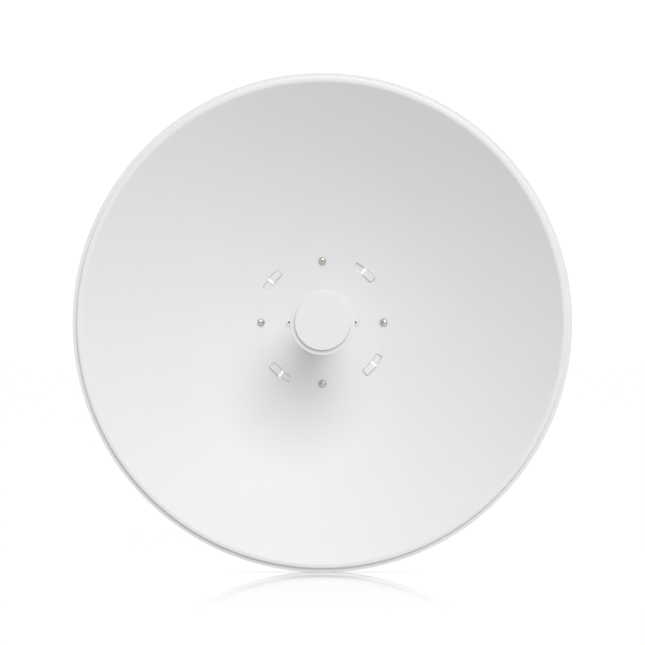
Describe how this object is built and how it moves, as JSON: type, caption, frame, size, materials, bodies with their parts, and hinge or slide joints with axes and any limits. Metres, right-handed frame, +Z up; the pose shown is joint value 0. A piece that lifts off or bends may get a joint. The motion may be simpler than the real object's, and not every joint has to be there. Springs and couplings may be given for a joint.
{
  "type": "parabolic dish antenna",
  "caption": "Round parabolic dish antenna with a capped feed tube at its focus, on a folded steel bracket that tilts and clamps to a pole.",
  "frame": {"origin": "centre of the pole bracket's flat rear face, which looks at the pole, on the dish's axis", "axes": "+Y from the dish towards the pole, along the dish's axis, so the dish looks along -Y; +Z up; +X to the right as seen from in front of the dish"},
  "size_m": [0.65, 0.3755, 0.65],
  "materials": {
    "dish_paint": "satin",
    "feed_plastic": "satin",
    "cap_plastic": "satin",
    "black_plastic": "matte",
    "cast_aluminium": "cast",
    "galvanised_steel": "galvanised",
    "stainless_steel": "satin"
  },
  "bodies": {
    "root": {"reflector": "dish_paint", "feed_tube": "feed_plastic", "feed_collar": "feed_plastic", "feed_head": "feed_plastic", "feed_cap": "cap_plastic", "feed_socket": "feed_plastic", "port_cover": "feed_plastic", "cable_gland": "black_plastic", "rear_hub": "cast_aluminium", "hub_rivet_left": "dish_paint", "hub_rivet_right": "dish_paint", "dish_screw_top": "stainless_steel", "dish_screw_right": "stainless_steel", "dish_screw_bottom": "stainless_steel", "dish_screw_left": "stainless_steel", "arm_nut_top": "stainless_steel", "arm_nut_right": "stainless_steel", "arm_nut_bottom": "stainless_steel", "arm_nut_left": "stainless_steel", "yoke": "galvanised_steel", "yoke_bolt_upper_right": "stainless_steel", "yoke_bolt_upper_left": "stainless_steel", "yoke_bolt_lower_left": "stainless_steel", "yoke_bolt_lower_right": "stainless_steel", "pole_bracket": "galvanised_steel", "pivot_bolt_right": "stainless_steel", "pivot_bolt_left": "stainless_steel", "pivot_nut_right": "stainless_steel", "pivot_nut_left": "stainless_steel", "tilt_bolt_right": "stainless_steel", "tilt_bolt_left": "stainless_steel", "tilt_nut_right": "stainless_steel", "tilt_nut_left": "stainless_steel", "clamp_jaw": "galvanised_steel", "clamp_bolt_upper_right": "galvanised_steel", "clamp_bolt_upper_left": "galvanised_steel", "clamp_bolt_lower_left": "galvanised_steel", "clamp_bolt_lower_right": "galvanised_steel", "clamp_nut_upper_right": "galvanised_steel", "clamp_nut_upper_left": "galvanised_steel", "clamp_nut_lower_left": "galvanised_steel", "clamp_nut_lower_right": "galvanised_steel"}
  },
  "joints": []
}
